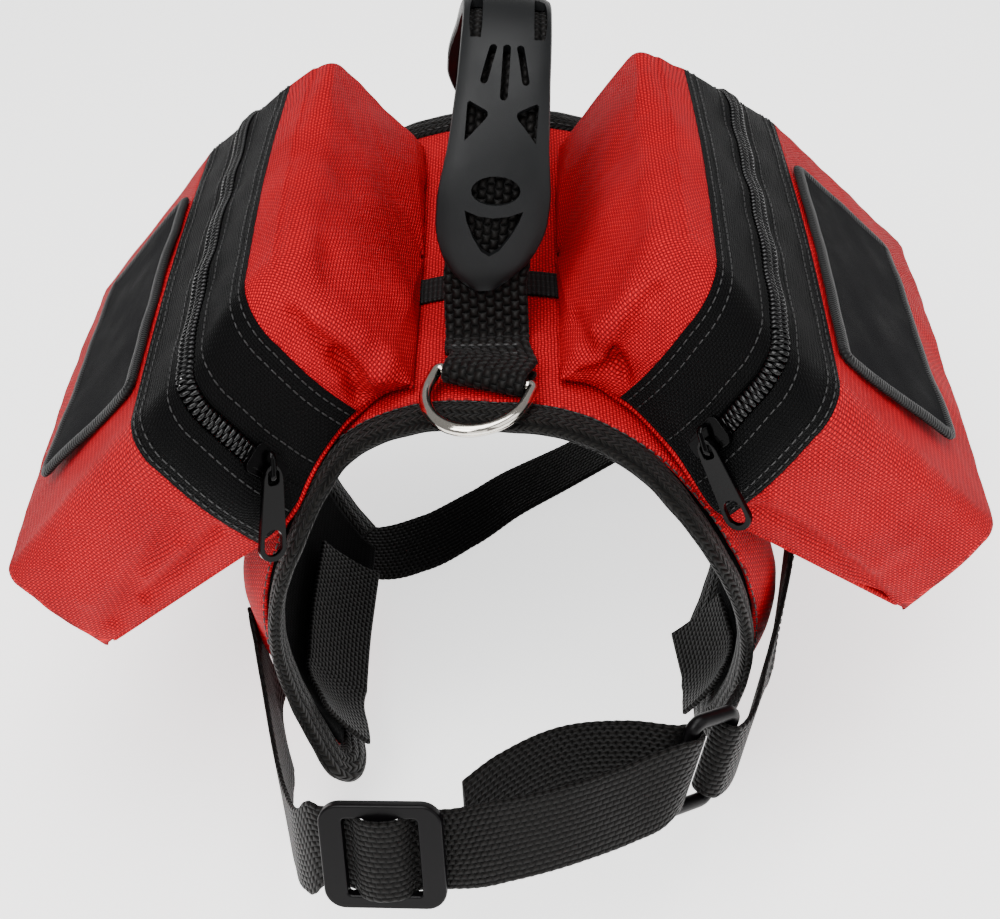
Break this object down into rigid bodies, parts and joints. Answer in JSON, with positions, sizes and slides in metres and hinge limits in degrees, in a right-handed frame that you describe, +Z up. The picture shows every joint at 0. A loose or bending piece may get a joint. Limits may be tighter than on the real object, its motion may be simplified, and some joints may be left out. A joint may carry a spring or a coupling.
{
  "type": "service dog vest",
  "caption": "Worn form of a small canvas dog harness vest with two zipped saddle bags, an arched grip handle, a lead ring, and adjustable chest and girth straps.",
  "frame": {"origin": "middle of the dog's back at the underside of the saddle, where the wearer holds the vest", "axes": "+X towards the right in the picture, +Y towards the dog's tail, +Z up"},
  "size_m": [0.2936, 0.2662, 0.221],
  "materials": {
    "red_canvas": "bright red plain-weave nylon canvas",
    "black_lining": "smooth black lining",
    "black_binding": "braided black edge binding",
    "black_webbing": "black nylon webbing",
    "zip_tape": "black woven zip tape",
    "zip_coil": "black nylon zip coil",
    "patch_felt": "black felt patch with an overlocked edge",
    "rubber_grip": "moulded satin black rubber",
    "plastic_black": "satin black moulded plastic",
    "lacquered_metal": "glossy black lacquered zinc",
    "nickel": "polished nickel plate"
  },
  "bodies": {
    "vest": {"saddle_panel": "red_canvas", "bag_back_left": "red_canvas", "bag_back_right": "red_canvas", "bag_top_left": "red_canvas", "bag_top_right": "red_canvas", "bag_shell_left": "red_canvas", "bag_shell_right": "red_canvas", "saddle_lining": "black_lining", "neck_binding": "black_binding", "rear_binding": "black_binding", "side_webbing_left": "black_webbing", "side_webbing_right": "black_webbing", "handle_webbing": "black_webbing", "ribbon": "black_webbing", "d_ring_loop": "black_webbing", "chest_strap": "black_webbing", "chest_tab_right": "black_webbing", "girth_strap": "black_webbing", "girth_tab": "black_webbing", "zip_tape_inner_left": "zip_tape", "zip_tape_inner_right": "zip_tape", "zip_tape_outer_left": "zip_tape", "zip_tape_outer_right": "zip_tape", "zip_coil_left": "zip_coil", "zip_coil_right": "zip_coil", "patch_left": "patch_felt", "patch_right": "patch_felt", "handle_grip": "rubber_grip", "chest_slider": "plastic_black", "chest_ring": "plastic_black", "girth_buckle_prong": "plastic_black", "girth_buckle_socket": "plastic_black", "zip_slider_left": "lacquered_metal", "zip_slider_right": "lacquered_metal", "zip_bridge_left": "lacquered_metal", "zip_bridge_right": "lacquered_metal"},
    "d_ring": {"d_ring": "nickel"},
    "zip_pull_left": {"zip_pull_left": "lacquered_metal"},
    "zip_pull_right": {"zip_pull_right": "lacquered_metal"}
  },
  "joints": [
    {"name": "d_ring_swing", "type": "hinge", "parent": "vest", "child": "d_ring", "pos_m": [0, -0.07, 0.0079], "axis": [-0.9397, 0.342, 0], "range_deg": [0, 110]},
    {"name": "zip_pull_left_swing", "type": "hinge", "parent": "vest", "child": "zip_pull_left", "pos_m": [-0.05943, -0.0993, 0.00318], "axis": [-0.7884, -0.5116, 0.3415], "range_deg": [0, 150]},
    {"name": "zip_pull_right_swing", "type": "hinge", "parent": "vest", "child": "zip_pull_right", "pos_m": [0.06043, -0.09729, 0.00418], "axis": [-0.7676, 0.3517, -0.5359], "range_deg": [0, 150]}
  ]
}
